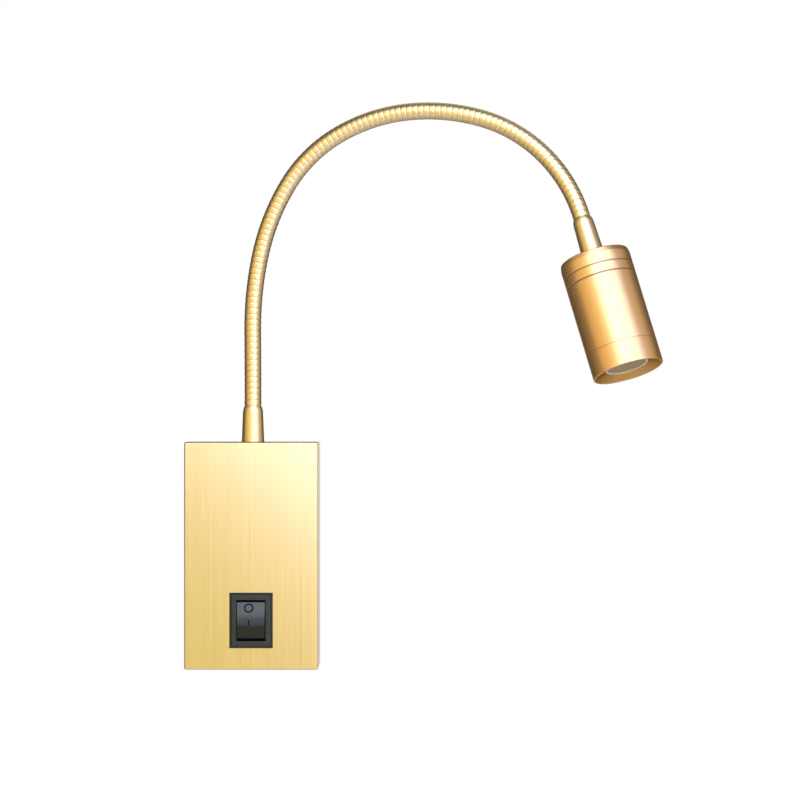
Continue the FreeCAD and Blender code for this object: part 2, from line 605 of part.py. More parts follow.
def light_emitter():
    """The square emitter with its round dome."""
    base = WEB_FRONT + STAR_THICKNESS
    half = EMITTER_SIZE / 2
    package = block((-half, half), (-half, half), (base, base + EMITTER_HEIGHT))
    dome = Part.makeCylinder(EMITTER_DOME_RADIUS, EMITTER_DOME_HEIGHT, V(0, 0, base + EMITTER_HEIGHT))
    return on_head(package.fuse(dome))


# ---------------------------------------------------------------- assembly
def lamp():
    """Every sub-part by name."""
    nodes = {
        "wall_box_cover": wall_box_cover(),
        "wall_bracket": wall_bracket(),
        "cover_screws": Part.makeCompound([cover_screw(side) for side in (-1, 1)]),
        "cable_grommet": cable_grommet(),
        "earth_screw": earth_screw(),
        "terminal_block": terminal_block(),
        "driver_case": driver_case(),
        "driver_lid": driver_lid(),
        "driver_board": driver_board(),
        "switch_housing": switch_housing(),
        "switch_terminals": Part.makeCompound(spades()),
        "switch_rocker": switch_rocker(),
        "base_ferrule": along(ferrule(BASE_FERRULE_LENGTH), BASE_ORIGIN, UP),
        "base_nut": along(nut(), BASE_ORIGIN - UP * SHEET, UP),
        "head_ferrule": on_head(along(ferrule(HEAD_FERRULE_LENGTH), V(0, 0, 0), UP * -1)),
        "head_cap": head_cap(),
        "head_body": head_body(),
        "front_ring": front_ring(),
        "lens": lens(),
        "lens_holder": lens_holder(),
        "star_board": star_board(),
        "light_emitter": light_emitter(),
    }
    for joint in range(len(NECK_HEADINGS) - 1):
        nodes["neck_link_%02d" % (joint + 1)] = neck_link(joint)
    return nodes


def main():
    os.makedirs("parts", exist_ok=True)
    for name, shape in lamp().items():
        shape.exportStep("parts/%s.step" % name)
        print(name, len(shape.Solids), "valid" if shape.isValid() else "NOT VALID", round(shape.Volume, 1))
    for joint in range(len(NECK_HEADINGS)):
        point = neck_joint(joint)
        direction = neck_direction(joint)
        front = (FRONT - direction * FRONT.dot(direction)).normalize()
        print("joint", joint, tuple(point), tuple(direction), tuple(front), tuple(direction.cross(front)))
    print("pivot", tuple(ROCKER_PIVOT))


main()
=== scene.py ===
"""Looks of the bedside wall reading lamp: brushed brass wall box, ribbed neck, satin round head, black rocker switch.

Metres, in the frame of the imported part: +Z up, +X right, the wall behind the lamp at y = 0.
"""
import json
import math

import bmesh
import bpy
from mathutils import Matrix, Vector

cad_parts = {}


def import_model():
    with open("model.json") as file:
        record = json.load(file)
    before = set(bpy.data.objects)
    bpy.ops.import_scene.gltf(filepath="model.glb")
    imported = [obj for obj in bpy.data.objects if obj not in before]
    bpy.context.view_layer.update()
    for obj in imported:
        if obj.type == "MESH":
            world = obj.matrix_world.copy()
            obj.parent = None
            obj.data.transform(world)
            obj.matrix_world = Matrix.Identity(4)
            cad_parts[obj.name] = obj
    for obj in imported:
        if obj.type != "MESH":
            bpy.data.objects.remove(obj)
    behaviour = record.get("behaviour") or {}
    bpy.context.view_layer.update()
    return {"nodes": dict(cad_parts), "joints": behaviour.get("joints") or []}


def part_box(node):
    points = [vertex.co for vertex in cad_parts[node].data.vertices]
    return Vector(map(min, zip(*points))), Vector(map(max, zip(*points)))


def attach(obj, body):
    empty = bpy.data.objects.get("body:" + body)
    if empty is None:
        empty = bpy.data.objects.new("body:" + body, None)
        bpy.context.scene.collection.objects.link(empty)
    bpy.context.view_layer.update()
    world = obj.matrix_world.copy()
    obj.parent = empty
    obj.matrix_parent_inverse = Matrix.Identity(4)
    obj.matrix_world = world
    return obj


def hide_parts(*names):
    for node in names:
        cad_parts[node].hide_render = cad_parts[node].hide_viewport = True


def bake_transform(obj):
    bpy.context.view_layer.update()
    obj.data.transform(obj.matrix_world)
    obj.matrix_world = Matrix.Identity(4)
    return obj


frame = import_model()

MM = 0.001
UP = Vector((0, 0, 1))
FRONT = Vector((0, -1, 0))       # away from the wall
NODES = frame["nodes"]

# ---------------------------------------------------------------- camera
PIXEL = 0.3731 * MM              # at the front of the wall box
IMAGE_PIXELS = 800
PLATE_CENTRE_PIXEL = (251.1, 556.0)
CAMERA_DISTANCE = 1.15           # from the front of the wall box
SENSOR_WIDTH = 36.0              # millimetres

# ---------------------------------------------------------------- neck
RIBS = 104
RIB_CREST = 3.19 * MM
RIB_DEPTH = 0.13 * MM
RIB_SHARPNESS = 6                # power of the rib's profile: high for a broad dome and a narrow groove
RIB_STEPS = (0.0, 0.04, 0.08, 0.14, 0.24, 0.5, 0.76, 0.86, 0.92, 0.96)   # places along one rib
RIB_SEGMENTS = 48
RIB_SHARP_ANGLE = math.radians(70)
SAME_PLACE = 1e-6                # metres; two rings of the skin that are closer than this are one
NECK_TUCK = 0.6 * MM             # of the neck inside each ferrule's mouth
BEND = 0.22                      # share of a link, on each side of a joint, over which the skin bends

# ---------------------------------------------------------------- meshes
SHARP_ANGLE = math.radians(32)   # an edge that turns more than this is sharp
FACE_WEIGHT = 100                # how far large faces decide the shading, of 100
TURNED_SEGMENTS = 144
FILLET_STEPS = 3
ON_AXIS = 1e-6                   # millimetres; a turned point with a smaller radius is a pole
TEXTURE_UNIT = 100               # millimetres along a turned surface for one unit of its texture
WELD = 0.002 * MM                # CAD points that are closer than this become one
FLAT_ANGLE = math.radians(0.6)   # CAD faces that turn less than this become one
BEVEL_STEPS = 2
BEVEL_PROFILE = 0.6
CREST_ANGLE = math.radians(15)   # a crest is a long blunt edge, between this and a sharp edge
CREST_LENGTH = 5 * MM
CREST_STEPS = 12
CREST_PROFILE = 0.5


# ---------------------------------------------------------------- mesh helpers
def new_piece(name, mesh, material, body, slot, *replaced):
    """An object at the origin that carries a finished mesh."""
    piece = bpy.data.objects.new(name, mesh)
    bpy.context.scene.collection.objects.link(piece)
    mesh.materials.append(material)
    if body:
        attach(piece, body)
    if replaced:
        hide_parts(*replaced)
    flat = piece.modifiers.new("flat_faces", "WEIGHTED_NORMAL")
    flat.keep_sharp = True
    flat.weight = FACE_WEIGHT
    return piece


def shade(mesh, sharp=SHARP_ANGLE):
    """Smooth shading that stays crisp across sharp edges."""
    work = bmesh.new()
    work.from_mesh(mesh)
    for face in work.faces:
        face.smooth = True
    for edge in work.edges:
        edge.smooth = not (edge.is_manifold and edge.calc_face_angle(0.0) > sharp)
    work.to_mesh(mesh)
    work.free()


def aligned(origin, direction):
    """Matrix that lays a piece's own Z axis along a direction."""
    return Matrix.Translation(origin) @ UP.rotation_difference(direction).to_matrix().to_4x4()


def filleted(corners):
    """A closed outline of (radius, distance) points from (radius, distance, fillet) corners."""
    points = []
    count = len(corners)
    for i, (radius, distance, fillet) in enumerate(corners):
        here = Vector((radius, distance))
        if not fillet:
            points.append(here)
            continue
        before = (Vector(corners[i - 1][:2]) - here).normalized()
        after = (Vector(corners[(i + 1) % count][:2]) - here).normalized()
        for step in range(FILLET_STEPS + 1):
            t = step / FILLET_STEPS
            points.append(here + before * fillet * (1 - t) ** 2 + after * fillet * t ** 2)
    return points


def turned(name, corners, origin, direction):
    """A mesh turned from a closed outline of (radius, distance, fillet) corners, in millimetres, about an axis."""
    outline = filleted(corners)
    angles = [math.tau * i / TURNED_SEGMENTS for i in range(TURNED_SEGMENTS)]
    work = bmesh.new()
    uv = work.loops.layers.uv.new("turned")
    rings = []
    for radius, distance in outline:
        if radius < ON_AXIS:
            rings.append([work.verts.new((0, 0, distance * MM))])
            continue
        rings.append([work.verts.new((radius * math.cos(a) * MM, radius * math.sin(a) * MM, distance * MM))
                      for a in angles])
    travel = 0.0
    for i, ring in enumerate(rings):
        other = rings[(i + 1) % len(rings)]
        step = (outline[(i + 1) % len(rings)] - outline[i]).length
        if len(ring) > 1 or len(other) > 1:
            for k in range(TURNED_SEGMENTS):
                ring_face(work, uv, ring, other, k, TURNED_SEGMENTS, travel, step)
        travel += step
    bmesh.ops.recalc_face_normals(work, faces=work.faces)
    mesh = bpy.data.meshes.new(name)
    work.to_mesh(mesh)
    work.free()
    mesh.transform(aligned(origin, direction))
    shade(mesh)
    return mesh


def ring_face(work, uv, ring, other, k, segments, travel, step):
    """The k-th face between two rings, or a ring and a pole, with its texture place on the turned surface.

    travel is the distance along the outline to the first ring and step that to the other, in millimetres.
    """
    around = [k, (k + 1) % segments]
    corners = [(ring, around[0], k, 0.0), (ring, around[1], k + 1, 0.0),
               (other, around[1], k + 1, step), (other, around[0], k, step)]
    verts, places = [], []
    for loop_ring, index, turn, along in corners:
        vert = loop_ring[index] if len(loop_ring) > 1 else loop_ring[0]
        if vert not in verts:
            verts.append(vert)
            places.append((turn / segments, (travel + along) / TEXTURE_UNIT))
    face = work.faces.new(verts)
    for loop, place in zip(face.loops, places):
        loop[uv].uv = place


def dressed(node, width, crest=0.0):
    """A copy of a CAD node's mesh with clean faces, softened edges and, if asked, its crest rolled over."""
    work = bmesh.new()
    work.from_mesh(NODES[node].data)
    bmesh.ops.remove_doubles(work, verts=work.verts, dist=WELD)
    bmesh.ops.dissolve_limit(work, angle_limit=FLAT_ANGLE, verts=work.verts, edges=work.edges)
    if crest:
        blunt = [e for e in work.edges if e.is_manifold and CREST_ANGLE < e.calc_face_angle(0.0) < SHARP_ANGLE
                 and abs((e.verts[0].co - e.verts[1].co).x) > CREST_LENGTH]
        bmesh.ops.bevel(work, geom=blunt, offset=crest, segments=CREST_STEPS, profile=CREST_PROFILE,
                        affect="EDGES", clamp_overlap=True)
    sharp = [e for e in work.edges if e.is_manifold and e.calc_face_angle(0.0) > SHARP_ANGLE]
    bmesh.ops.bevel(work, geom=sharp, offset=width, segments=BEVEL_STEPS, profile=BEVEL_PROFILE,
                    affect="EDGES", clamp_overlap=True)
    mesh = bpy.data.meshes.new(node + "_mesh")
    work.to_mesh(mesh)
    work.free()
    shade(mesh)
    return mesh


def span(node, origin, direction):
    """Lowest and highest distance of a CAD node along an axis, and its largest radius, in millimetres."""
    distances, radii = [], []
    for vert in NODES[node].data.vertices:
        offset = vert.co - origin
        distance = offset.dot(direction)
        distances.append(distance)
        radii.append((offset - direction * distance).length)
    return min(distances) / MM, max(distances) / MM, max(radii) / MM


# ---------------------------------------------------------------- neck path from the joints of the frame
NECK_POINTS = [Vector(joint["pos_m"]) for joint in frame["joints"] if joint["name"].startswith("neck")]


class Arc:
    """A circular arc from a point in a direction to another point."""

    def __init__(self, start, direction, finish):
        chord = finish - start
        half = direction.angle(chord)
        self.start = start
        self.direction = direction
        self.radius = chord.length / (2 * math.sin(half))
        self.length = self.radius * 2 * half
        self.inward = (chord - direction * chord.dot(direction)).normalized()

    def at(self, distance):
        """Point and direction at a distance along the arc; straight on before its start."""
        if distance < 0:
            return self.start + self.direction * distance, self.direction
        turn = distance / self.radius
        point = (self.start + self.direction * (self.radius * math.sin(turn))
                 + self.inward * (self.radius * (1 - math.cos(turn))))
        return point, self.direction * math.cos(turn) + self.inward * math.sin(turn)


def neck_arcs():
    """The arcs of the neck, one for each link, tangent to each other."""
    arcs = []
    direction = UP
    for start, finish in zip(NECK_POINTS, NECK_POINTS[1:]):
        arcs.append(Arc(start, direction, finish))
        direction = arcs[-1].at(arcs[-1].length)[1]
    return arcs


ARCS = neck_arcs()
LINK = ARCS[0].length
NECK_LENGTH = LINK * len(ARCS)
HEAD_DIRECTION = ARCS[-1].at(LINK)[1].normalized()
BASE = Vector((NECK_POINTS[0].x, NECK_POINTS[0].y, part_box("wall_box_cover")[1].z))
BASE_FERRULE = (NECK_POINTS[0].z - BASE.z) / MM
HEAD_FERRULE = span("head_cap", NECK_POINTS[-1], HEAD_DIRECTION)[0]
HEAD = NECK_POINTS[-1] + HEAD_DIRECTION * HEAD_FERRULE * MM


def neck_at(distance):
    """Point and direction at a distance along the neck; straight on past its ends."""
    index = min(max(int(distance / LINK), 0), len(ARCS) - 1)
    rest = distance - index * LINK
    if rest > LINK:
        return NECK_POINTS[-1] + HEAD_DIRECTION * (rest - LINK), HEAD_DIRECTION
    return ARCS[index].at(rest)


def rib_radius(distance):
    """A broad dome with a narrow groove at each rib."""
    phase = (distance / NECK_LENGTH * RIBS) % 1.0
    return RIB_CREST - RIB_DEPTH * abs(2 * phase - 1) ** RIB_SHARPNESS


def neck_piece_mesh(name, begin, end):
    """The ribbed skin of one stretch of the neck, closed at both ends."""
    pitch = NECK_LENGTH / RIBS
    places = [(rib + step) * pitch for rib in range(-1, RIBS + 1) for step in RIB_STEPS]
    places = [begin] + [p for p in places if begin + SAME_PLACE < p < end - SAME_PLACE] + [end]
    angles = [math.tau * i / RIB_SEGMENTS for i in range(RIB_SEGMENTS)]
    work = bmesh.new()
    uv = work.loops.layers.uv.new("turned")
    rings = []
    for place in places:
        point, direction = neck_at(place)
        side = direction.cross(FRONT).normalized()
        front = side.cross(direction)
        radius = rib_radius(place)
        rings.append([work.verts.new(point + (side * math.cos(a) + front * math.sin(a)) * radius)
                      for a in angles])
    for i in range(len(rings) - 1):
        for k in range(RIB_SEGMENTS):
            ring_face(work, uv, rings[i], rings[i + 1], k, RIB_SEGMENTS, places[i] / MM,
                      (places[i + 1] - places[i]) / MM)
    work.faces.new(rings[0])
    work.faces.new(rings[-1])
    bmesh.ops.recalc_face_normals(work, faces=work.faces)
    mesh = bpy.data.meshes.new(name)
    work.to_mesh(mesh)
    work.free()
    shade(mesh, RIB_SHARP_ANGLE)
    return mesh


# ---------------------------------------------------------------- materials
NOISE_DETAIL = 3.0
NOISE_ROUGHNESS = 0.55
NOISE_LOW, NOISE_HIGH = 0.25, 0.75   # most values of a noise texture lie between these
METAL_GLOSS_SPREAD = 0.03        # of the roughness, to each side
PLASTIC_GLOSS_SPREAD = 0.04
LACQUER_IOR = 1.8
LENS_IOR = 1.49
LENS_TRANSMISSION = 0.35         # the rest is the haze of its pebbled face, tinted brown as painted reflection


def blank(name):
    """A node material, with its nodes, links and shader."""
    material = bpy.data.materials.new(name)
    material.use_nodes = True
    tree = material.node_tree
    return material, tree.nodes, tree.links, tree.nodes["Principled BSDF"]


def grain(nodes, links, source, scale):
    """A noise texture over object or turned coordinates, stretched by a scale on each axis."""
    coordinates = nodes.new("ShaderNodeTexCoord")
    mapping = nodes.new("ShaderNodeMapping")
    mapping.inputs["Scale"].default_value = scale
    noise = nodes.new("ShaderNodeTexNoise")
    noise.inputs["Scale"].default_value = 1.0
    noise.inputs["Detail"].default_value = NOISE_DETAIL
    noise.inputs["Roughness"].default_value = NOISE_ROUGHNESS
    links.new(coordinates.outputs[source], mapping.inputs["Vector"])
    links.new(mapping.outputs["Vector"], noise.inputs["Vector"])
    return noise.outputs["Fac"]


def spread(nodes, links, value, low, high):
    """A 0 to 1 texture value taken to a range."""
    ramp = nodes.new("ShaderNodeMapRange")
    ramp.inputs["From Min"].default_value = NOISE_LOW
    ramp.inputs["From Max"].default_value = NOISE_HIGH
    ramp.inputs["To Min"].default_value = low
    ramp.inputs["To Max"].default_value = high
    links.new(value, ramp.inputs["Value"])
    return ramp.outputs["Result"]


def tint(nodes, links, value, dark, light):
    """A colour between two, by a texture value."""
    mix = nodes.new("ShaderNodeMix")
    mix.data_type = "RGBA"
    mix.inputs["A"].default_value = (*dark, 1)
    mix.inputs["B"].default_value = (*light, 1)
    links.new(value, mix.inputs["Factor"])
    return mix.outputs["Result"]


def bump(nodes, links, shader, value, distance):
    """Fine relief from a texture value, in metres."""
    node = nodes.new("ShaderNodeBump")
    node.inputs["Distance"].default_value = distance
    node.inputs["Strength"].default_value = 1.0
    links.new(value, node.inputs["Height"])
    links.new(node.outputs["Normal"], shader.inputs["Normal"])


def metal(name, dark, light, roughness, source, scale, relief, edge_tint_and_painted_shade=(1, 1, 1), lacquer=0.0):
    """Bare, lacquered or anodised metal: streaks in colour, gloss and relief, stretched by the scale.

    The edge tint colours what the metal mirrors at a grazing angle; where it is darker than the metal, as on the
    neck, head and cone, it paints shade along their silhouette edges. lacquer is the weight of a clear coat.
    """
    material, nodes, links, shader = blank(name)
    shader.inputs["Metallic"].default_value = 1.0
    shader.inputs["Coat Weight"].default_value = lacquer
    shader.inputs["Coat IOR"].default_value = LACQUER_IOR
    shader.inputs["Coat Roughness"].default_value = roughness
    shader.inputs["Specular Tint"].default_value = (*edge_tint_and_painted_shade, 1)
    streaks = grain(nodes, links, source, scale)
    links.new(tint(nodes, links, streaks, dark, light), shader.inputs["Base Color"])
    links.new(spread(nodes, links, streaks, roughness - METAL_GLOSS_SPREAD, roughness + METAL_GLOSS_SPREAD),
              shader.inputs["Roughness"])
    bump(nodes, links, shader, streaks, relief)
    return material


def plastic(name, dark, light, roughness, scale, relief, sheen_tint=(1, 1, 1), sheen=0.5):
    """Moulded plastic with a fine spark-eroded texture. sheen is the level of its mirror-like part, usually 0.5."""
    material, nodes, links, shader = blank(name)
    shader.inputs["Specular Tint"].default_value = (*sheen_tint, 1)
    shader.inputs["Specular IOR Level"].default_value = sheen
    speckle = grain(nodes, links, "Object", (scale, scale, scale))
    links.new(tint(nodes, links, speckle, dark, light), shader.inputs["Base Color"])
    links.new(spread(nodes, links, speckle, roughness - PLASTIC_GLOSS_SPREAD, roughness + PLASTIC_GLOSS_SPREAD),
              shader.inputs["Roughness"])
    bump(nodes, links, shader, speckle, relief)
    return material


def cloudy_lens():
    """The lens: cloudy plastic with a fine pebbled face, its brown a painted reflection of the gold ring and the dark
    parts behind it.
    """
    material, nodes, links, shader = blank("lens_glass")
    shader.inputs["Transmission Weight"].default_value = LENS_TRANSMISSION
    shader.inputs["IOR"].default_value = LENS_IOR
    pebbles = grain(nodes, links, "Object", (2400, 2400, 2400))
    # painted reflection: the brown stands for the gold and dark parts that the lens mirrors and shows
    links.new(tint(nodes, links, pebbles, (0.40, 0.28, 0.11), (0.50, 0.36, 0.16)), shader.inputs["Base Color"])
    links.new(spread(nodes, links, pebbles, 0.34, 0.46), shader.inputs["Roughness"])
    bump(nodes, links, shader, pebbles, 0.004 * MM)
    return material


# colours are linear; streaks and speckles have a scale per metre, or per unit of the turned texture
BRUSHED = metal("cover_brushed_brass", (0.79, 0.625, 0.33), (0.83, 0.665, 0.37), 0.23, "Object", (900, 900, 9),
                0.002 * MM, (0.75, 0.7, 0.5), 1.0)
# painted shade: the dark edge tints of the neck, head and cone darken their silhouette edges
NECK_BRASS = metal("neck_satin_brass", (0.79, 0.60, 0.29), (0.85, 0.66, 0.34), 0.40, "UV", (40, 60, 1),
                   0.0008 * MM, (0.45, 0.36, 0.18), 0.55)
HEAD_GOLD = metal("head_anodised_gold", (0.87, 0.54, 0.22), (0.92, 0.59, 0.27), 0.40, "Object", (5200, 5200, 5200),
                  0.004 * MM, (0.5, 0.33, 0.16), 0.5)
# painted shade: a darker copy of the head's gold for the cone in the recess of the front ring; its turned streaks are
# real
CONE_PAINTED_SHADE_GOLD = metal("ring_cone_gold_painted_shade", (0.68, 0.40, 0.13), (0.76, 0.46, 0.16), 0.34, "UV", (30, 700, 1),
                  0.002 * MM, (0.5, 0.35, 0.2))
# painted shade: dark grey metal for the bottoms of the cap's groove and gap, where only shade falls
GROOVE_PAINTED_SHADE = metal("head_groove_painted_shade", (0.34, 0.27, 0.19), (0.42, 0.34, 0.25), 0.5, "Object", (5200, 5200, 5200),
                  0.002 * MM)
ZINC = metal("zinc_plated_steel", (0.50, 0.51, 0.53), (0.62, 0.63, 0.65), 0.36, "Object", (160, 160, 160),
             0.004 * MM)
SCREW_BRASS = metal("screw_brass", (0.62, 0.44, 0.18), (0.74, 0.54, 0.24), 0.32, "Object", (1500, 1500, 1500),
                    0.003 * MM)
BEZEL_BLACK = plastic("switch_moulded_black", (0.010, 0.009, 0.008), (0.020, 0.018, 0.016), 0.36, 5200, 0.010 * MM,
                      (0.85, 1.0, 1.0))
ROCKER_BLACK = plastic("rocker_smooth_black", (0.003, 0.004, 0.004), (0.006, 0.007, 0.007), 0.22, 6000, 0.0002 * MM,
                       (0.95, 1.0, 0.97), 0.4)
# painted shade: the marks are dark as the shade in an engraved line would be
MARK_PAINTED_SHADE = plastic("rocker_mark_painted_shade", (0.003, 0.003, 0.004), (0.006, 0.006, 0.008), 0.8, 3000, 0.002 * MM,
                    sheen=0.1)
# painted reflection: the frosted flange is warm grey-brown for the gold ring and dark parts it mirrors
FLANGE_PAINTED_REFLECTION = plastic("lens_flange_frosted_painted_reflection", (0.52, 0.46, 0.33), (0.60, 0.54, 0.40), 0.24, 2600, 0.004 * MM)
RUBBER = plastic("grommet_rubber", (0.012, 0.012, 0.012), (0.03, 0.03, 0.03), 0.75, 2600, 0.02 * MM)
NYLON = plastic("terminal_nylon", (0.70, 0.70, 0.66), (0.80, 0.80, 0.77), 0.45, 1800, 0.006 * MM)
DRIVER_WHITE = plastic("driver_moulded_white", (0.66, 0.66, 0.63), (0.76, 0.76, 0.74), 0.5, 2200, 0.01 * MM)
BOARD_GREEN = plastic("board_solder_mask", (0.02, 0.12, 0.04), (0.04, 0.2, 0.07), 0.35, 900, 0.01 * MM)
HOLDER_BLACK = plastic("holder_moulded_black", (0.015, 0.015, 0.015), (0.04, 0.04, 0.04), 0.5, 2400, 0.01 * MM)
STAR_WHITE = plastic("star_coated_white", (0.66, 0.66, 0.66), (0.78, 0.78, 0.78), 0.4, 1200, 0.004 * MM)
PHOSPHOR = plastic("emitter_phosphor", (0.72, 0.55, 0.12), (0.85, 0.68, 0.2), 0.4, 4000, 0.004 * MM)
LENS_GLASS = cloudy_lens()


# ---------------------------------------------------------------- wall box
def wall_box():
    """Cover, bracket, screws and the parts inside, with softened edges."""
    pieces = (                   # node, softening of its edges in millimetres, material, slot
        ("wall_box_cover", 0.12, BRUSHED, "cover_metal"),
        ("wall_bracket", 0.08, ZINC, "zinc_steel"),
        ("cover_screws", 0.12, SCREW_BRASS, "brass_screw"),
        ("cable_grommet", 0.15, RUBBER, "black_rubber"),
        ("earth_screw", 0.12, SCREW_BRASS, "brass_screw"),
        ("terminal_block", 0.15, NYLON, "white_nylon"),
        ("driver_case", 0.2, DRIVER_WHITE, "driver_plastic"),
        ("driver_lid", 0.2, DRIVER_WHITE, "driver_plastic"),
        ("driver_board", 0.1, BOARD_GREEN, "circuit_board"),
        ("switch_terminals", 0.08, SCREW_BRASS, "brass_screw"),
        ("base_nut", 0.12, ZINC, "zinc_steel"),
        ("switch_housing", 0.12, BEZEL_BLACK, "switch_black"),
    )
    for node, edge, material, slot in pieces:
        new_piece(node + "_dressed", dressed(node, edge * MM), material, "root", slot, node)


# ---------------------------------------------------------------- rocker
ROCKER_AXIS = Vector(next(joint["pos_m"] for joint in frame["joints"] if joint["name"] == "rocker_press"))
ROCKER_TILT = math.radians(11)   # of the pressed rocker, and of each half of its face
ROCKER_EDGE = 0.2 * MM           # softening of its sharp edges
CREST_ROUNDING = 3.2 * MM

# the marks, in millimetres
ROCKER_CREST = 4.2               # from the pivot to the crest of the face
MARK_LINE = 0.55                 # width of a mark's line
MARK_X = -0.8                    # of both marks, from the middle of the rocker
MARK_RAISED = 0.03               # above the face
MARK_SUNK = 0.25                 # below the face, inside the rocker
RING_MARK_RADIUS = 1.55
RING_MARK_PLACE = 4.2            # from the crest, up the face
BAR_MARK_LENGTH = 2.0
BAR_MARK_PLACE = 1.55            # from the crest, down the face
MARK_STEPS = 48
MARK_WELD = 0.001 * MM


def rocker():
    """The rocker with a ring on its upper half and a bar on its lower half."""
    mesh = dressed("switch_rocker", ROCKER_EDGE, crest=CREST_ROUNDING)
    new_piece("switch_rocker_dressed", mesh, ROCKER_BLACK, "rocker", "rocker_black", "switch_rocker")
    angles = [math.tau * i / MARK_STEPS for i in range(MARK_STEPS + 1)]
    outer, inner = RING_MARK_RADIUS + MARK_LINE / 2, RING_MARK_RADIUS - MARK_LINE / 2
    mark("rocker_mark_ring", 1, RING_MARK_PLACE,
         [(outer * math.cos(a), outer * math.sin(a)) for a in angles],
         [(inner * math.cos(a), inner * math.sin(a)) for a in angles])
    bar = [(side * MARK_LINE / 2, end * BAR_MARK_LENGTH / 2)
           for side, end in ((1, -1), (1, 1), (-1, 1), (-1, -1), (1, -1))]
    mark("rocker_mark_bar", -1, BAR_MARK_PLACE, bar, [(0.0, 0.0)] * len(bar))


def mark(name, half, place, outer, inner):
    """A thin raised mark on the upper (1) or lower (-1) half of the rocker's face, its dark colour painted shade, as
    in an engraved line.

    It lies between two closed outlines of (across, up) points, about a place at a distance from the crest.
    """
    up = Vector((0, math.sin(ROCKER_TILT), half * math.cos(ROCKER_TILT)))
    out = Vector((0, -math.cos(ROCKER_TILT), half * math.sin(ROCKER_TILT)))
    centre = Vector((MARK_X, -ROCKER_CREST, 0)) + up * place
    work = bmesh.new()

    def corner(point, height):
        return work.verts.new((centre + Vector((point[0], 0, 0)) + up * point[1] + out * height) * MM)

    for i in range(len(outer) - 1):
        tops = [corner(p, MARK_RAISED) for p in (outer[i], outer[i + 1], inner[i + 1], inner[i])]
        feet = [corner(p, -MARK_SUNK) for p in (outer[i], outer[i + 1], inner[i + 1], inner[i])]
        work.faces.new(tops)
        work.faces.new(feet)
        work.faces.new((tops[0], tops[1], feet[1], feet[0]))
        work.faces.new((tops[2], tops[3], feet[3], feet[2]))
    bmesh.ops.remove_doubles(work, verts=work.verts, dist=MARK_WELD)
    bmesh.ops.recalc_face_normals(work, faces=work.faces)
    mesh = bpy.data.meshes.new(name)
    work.to_mesh(mesh)
    work.free()
    mesh.transform(Matrix.Translation(ROCKER_AXIS) @ Matrix.Rotation(-ROCKER_TILT, 4, "X"))
    shade(mesh)
    new_piece(name, mesh, MARK_PAINTED_SHADE, "rocker", "rocker_black")


# ---------------------------------------------------------------- neck and its ferrules
def neck():
    """The ribbed skin in nine stretches, each around a joint of the neck."""
    links = ["neck_link_%02d" % (i + 1) for i in range(len(ARCS))]
    for i in range(len(ARCS) + 1):
        begin = max((i - 0.5) * LINK, -NECK_TUCK)
        end = min((i + 0.5) * LINK, NECK_LENGTH + NECK_TUCK)
        name = "neck_skin_%02d" % (i + 1)
        piece = new_piece(name, neck_piece_mesh(name, begin, end), NECK_BRASS, None, "neck_metal",
                          links[min(i, len(links) - 1)])
        neck_at(max((i - BEND) * LINK, -NECK_TUCK))[0]
        neck_at(min((i + BEND) * LINK, NECK_LENGTH + NECK_TUCK))[0]
        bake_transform(piece)


# ferrules, in millimetres
FERRULE_FLARE_RADIUS = 4.3       # of the small flare at the foot
FERRULE_FLARE_HEIGHT = 0.35
FERRULE_FOOT_RADIUS = 4.22       # of the taper, above the flare
FERRULE_FOOT_HEIGHT = 0.8
FERRULE_SHOULDER_RADIUS = 3.78
FERRULE_SHOULDER_SETBACK = 1.7   # from the neck's end joint
FERRULE_MOUTH_RADIUS = 3.3
FERRULE_MOUTH_SETBACK = 0.32


def ferrule_corners(length):
    """Outline of a ferrule from its foot, with a small flare and a rounded shoulder."""
    mouth = length - FERRULE_MOUTH_SETBACK
    return [(0, 0, 0), (FERRULE_FLARE_RADIUS, 0, 0.12), (FERRULE_FLARE_RADIUS, FERRULE_FLARE_HEIGHT, 0.1),
            (FERRULE_FOOT_RADIUS, FERRULE_FOOT_HEIGHT, 0.2),
            (FERRULE_SHOULDER_RADIUS, length - FERRULE_SHOULDER_SETBACK, 0.9),
            (FERRULE_MOUTH_RADIUS, mouth, 0.15), (0, mouth, 0)]


def ferrules():
    """The tapered ferrules at both ends of the neck."""
    for node, length, foot, direction, body in (("base_ferrule", BASE_FERRULE, BASE, UP, "root"),
                                                ("head_ferrule", HEAD_FERRULE, HEAD, -HEAD_DIRECTION, "head")):
        mesh = turned(node + "_turned", ferrule_corners(length), foot, direction)
        new_piece(node + "_turned", mesh, NECK_BRASS, body, "neck_metal", node)


# ---------------------------------------------------------------- head
# Distances are from its rear face, steps are in from its outer radius, all in millimetres.
EDGE = 0.08                      # softening of its sharp edges
LINE_EDGE = 0.22                 # softer edges along the two lines of the cap
CAP_CHAMFER_STEP = 0.4
CAP_CHAMFER_END = 1.9
CAP_LINE = 5.7                   # middle of the decorative groove round the cap
CAP_LINE_WIDTH = 0.4
CAP_LINE_STEP = 0.5
CAP_END = 9.2                    # where the cap's full radius ends
CAP_SEAM = 0.5                   # open gap between cap and body
CAP_SEAM_STEP = 0.7
CAP_SPIGOT_STEP = 1.5            # of the cap's front end, inside the body
LINE_SHADE_STEP = 0.35            # of the band of painted shade in the groove
SEAM_SHADE_STEP = 0.45            # of the band of painted shade in the gap
SHADE_INNER_STEP = 1.0
SHADE_OVERLAP = 0.05              # of a band of painted shade with the metal beside it
BODY_REAR_STEP = 1.3             # of the body's rear end, inside the cap
RING_SEAM = 0.1                  # hairline gap between body and front ring
RING_SEAM_STEP = 0.5
BODY_SPIGOT_STEP = 1.2           # of the body's front end, inside the ring
BODY_BORE_STEP = 2.3
BODY_WEB = 22                    # front face of the web that carries the light source
